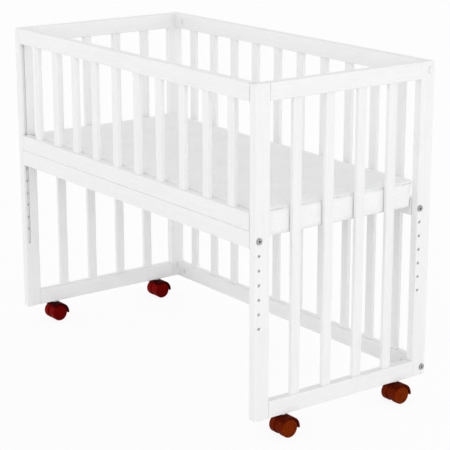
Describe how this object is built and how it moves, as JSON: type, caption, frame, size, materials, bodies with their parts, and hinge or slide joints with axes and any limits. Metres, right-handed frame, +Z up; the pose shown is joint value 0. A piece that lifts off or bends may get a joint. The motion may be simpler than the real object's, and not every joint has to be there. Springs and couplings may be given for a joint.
{
  "type": "bedside sleeper crib",
  "caption": "Barred wooden bedside crib on swivel casters with a height-adjustable slatted base, lift-out front guard and mattress.",
  "frame": {"origin": "middle of the footprint on the floor under the caster wheels", "axes": "+X along the crib to the right seen from the parents' side, +Y to the back panel, +Z up"},
  "size_m": [0.9898, 0.478, 0.756],
  "materials": {
    "white_lacquer": "white satin lacquer over fine-grained wood",
    "bare_wood": "unpainted beech",
    "mattress_cloth": "white woven cotton cover",
    "zinc_steel": "zinc plated",
    "white_plastic": "white moulded plastic",
    "housing_plastic_right": "dark brown moulded plastic",
    "wheel_plastic_right": "reddish brown moulded plastic",
    "housing_plastic_left": "very dark maroon moulded plastic",
    "wheel_plastic_left": "dark maroon moulded plastic"
  },
  "bodies": {
    "frame": {"back_barrel_nuts": "zinc_steel", "back_bolts": "zinc_steel", "back_rail_bottom": "white_lacquer", "back_rail_top": "white_lacquer", "back_slats": "white_lacquer", "bolt_caps": "white_plastic", "caster_sleeves": "white_plastic", "end_rail_bottom_left": "white_lacquer", "end_rail_bottom_right": "white_lacquer", "end_rail_top_left": "white_lacquer", "end_rail_top_right": "white_lacquer", "end_slat_left_1": "white_lacquer", "end_slat_left_2": "white_lacquer", "end_slat_left_3": "white_lacquer", "end_slat_left_4": "white_lacquer", "end_slat_right_1": "white_lacquer", "end_slat_right_2": "white_lacquer", "end_slat_right_3": "white_lacquer", "end_slat_right_4": "white_lacquer", "panel_dowels": "bare_wood", "post_front_left": "white_lacquer", "post_front_right": "white_lacquer", "post_rear_left": "white_lacquer", "post_rear_right": "white_lacquer"},
    "base": {"base_barrel_nuts": "zinc_steel", "base_bolts": "zinc_steel", "base_cleat_front": "white_lacquer", "base_cleat_rear": "white_lacquer", "base_rail_front": "white_lacquer", "base_rail_rear": "white_lacquer", "base_slats": "white_lacquer", "cleat_screws": "zinc_steel", "slat_screws": "zinc_steel"},
    "guard": {"guard_pegs": "bare_wood", "guard_rail_bottom": "white_lacquer", "guard_rail_top": "white_lacquer", "guard_slats": "white_lacquer"},
    "mattress": {"mattress_cover": "mattress_cloth", "mattress_core": "mattress_cloth"},
    "caster_front_left": {"caster_housing_front_left": "housing_plastic_left", "caster_stem_front_left": "zinc_steel", "caster_axle_front_left": "zinc_steel"},
    "caster_front_left_outer_wheel": {"caster_wheel_outer_front_left": "wheel_plastic_left"},
    "caster_front_left_inner_wheel": {"caster_wheel_inner_front_left": "wheel_plastic_left"},
    "caster_front_right": {"caster_housing_front_right": "housing_plastic_right", "caster_stem_front_right": "zinc_steel", "caster_axle_front_right": "zinc_steel"},
    "caster_front_right_outer_wheel": {"caster_wheel_outer_front_right": "wheel_plastic_right"},
    "caster_front_right_inner_wheel": {"caster_wheel_inner_front_right": "wheel_plastic_right"},
    "caster_rear_left": {"caster_housing_rear_left": "housing_plastic_left", "caster_stem_rear_left": "zinc_steel", "caster_axle_rear_left": "zinc_steel"},
    "caster_rear_left_outer_wheel": {"caster_wheel_outer_rear_left": "wheel_plastic_left"},
    "caster_rear_left_inner_wheel": {"caster_wheel_inner_rear_left": "wheel_plastic_left"},
    "caster_rear_right": {"caster_housing_rear_right": "housing_plastic_right", "caster_stem_rear_right": "zinc_steel", "caster_axle_rear_right": "zinc_steel"},
    "caster_rear_right_outer_wheel": {"caster_wheel_outer_rear_right": "wheel_plastic_right"},
    "caster_rear_right_inner_wheel": {"caster_wheel_inner_rear_right": "wheel_plastic_right"}
  },
  "joints": [
    {"name": "base_height", "type": "slide", "parent": "frame", "child": "base", "axis": [0, 0, 1], "range_m": [-0.1854, 0]},
    {"name": "guard_lift", "type": "slide", "parent": "base", "child": "guard", "axis": [0, 0, 1], "range_m": [0, 0.33]},
    {"name": "mattress_lift", "type": "slide", "parent": "base", "child": "mattress", "axis": [0, 0, 1], "range_m": [0, 0.215]},
    {"name": "caster_front_left_swivel", "type": "hinge", "parent": "frame", "child": "caster_front_left", "pos_m": [-0.47, -0.158, 0.05], "axis": [0, 0, 1], "continuous": true},
    {"name": "caster_front_left_outer_roll", "type": "hinge", "parent": "caster_front_left", "child": "caster_front_left_outer_wheel", "pos_m": [-0.47, -0.1554, 0.02], "axis": [1, 0, 0], "continuous": true},
    {"name": "caster_front_left_inner_roll", "type": "hinge", "parent": "caster_front_left", "child": "caster_front_left_inner_wheel", "pos_m": [-0.47, -0.1554, 0.02], "axis": [1, 0, 0], "continuous": true},
    {"name": "caster_front_right_swivel", "type": "hinge", "parent": "frame", "child": "caster_front_right", "pos_m": [0.47, -0.158, 0.05], "axis": [0, 0, 1], "continuous": true},
    {"name": "caster_front_right_outer_roll", "type": "hinge", "parent": "caster_front_right", "child": "caster_front_right_outer_wheel", "pos_m": [0.47, -0.1554, 0.02], "axis": [1, 0, 0], "continuous": true},
    {"name": "caster_front_right_inner_roll", "type": "hinge", "parent": "caster_front_right", "child": "caster_front_right_inner_wheel", "pos_m": [0.47, -0.1554, 0.02], "axis": [1, 0, 0], "continuous": true},
    {"name": "caster_rear_left_swivel", "type": "hinge", "parent": "frame", "child": "caster_rear_left", "pos_m": [-0.47, 0.158, 0.05], "axis": [0, 0, 1], "continuous": true},
    {"name": "caster_rear_left_outer_roll", "type": "hinge", "parent": "caster_rear_left", "child": "caster_rear_left_outer_wheel", "pos_m": [-0.47, 0.1606, 0.02], "axis": [1, 0, 0], "continuous": true},
    {"name": "caster_rear_left_inner_roll", "type": "hinge", "parent": "caster_rear_left", "child": "caster_rear_left_inner_wheel", "pos_m": [-0.47, 0.1606, 0.02], "axis": [1, 0, 0], "continuous": true},
    {"name": "caster_rear_right_swivel", "type": "hinge", "parent": "frame", "child": "caster_rear_right", "pos_m": [0.47, 0.158, 0.05], "axis": [0, 0, 1], "continuous": true},
    {"name": "caster_rear_right_outer_roll", "type": "hinge", "parent": "caster_rear_right", "child": "caster_rear_right_outer_wheel", "pos_m": [0.47, 0.1606, 0.02], "axis": [1, 0, 0], "continuous": true},
    {"name": "caster_rear_right_inner_roll", "type": "hinge", "parent": "caster_rear_right", "child": "caster_rear_right_inner_wheel", "pos_m": [0.47, 0.1606, 0.02], "axis": [1, 0, 0], "continuous": true}
  ]
}
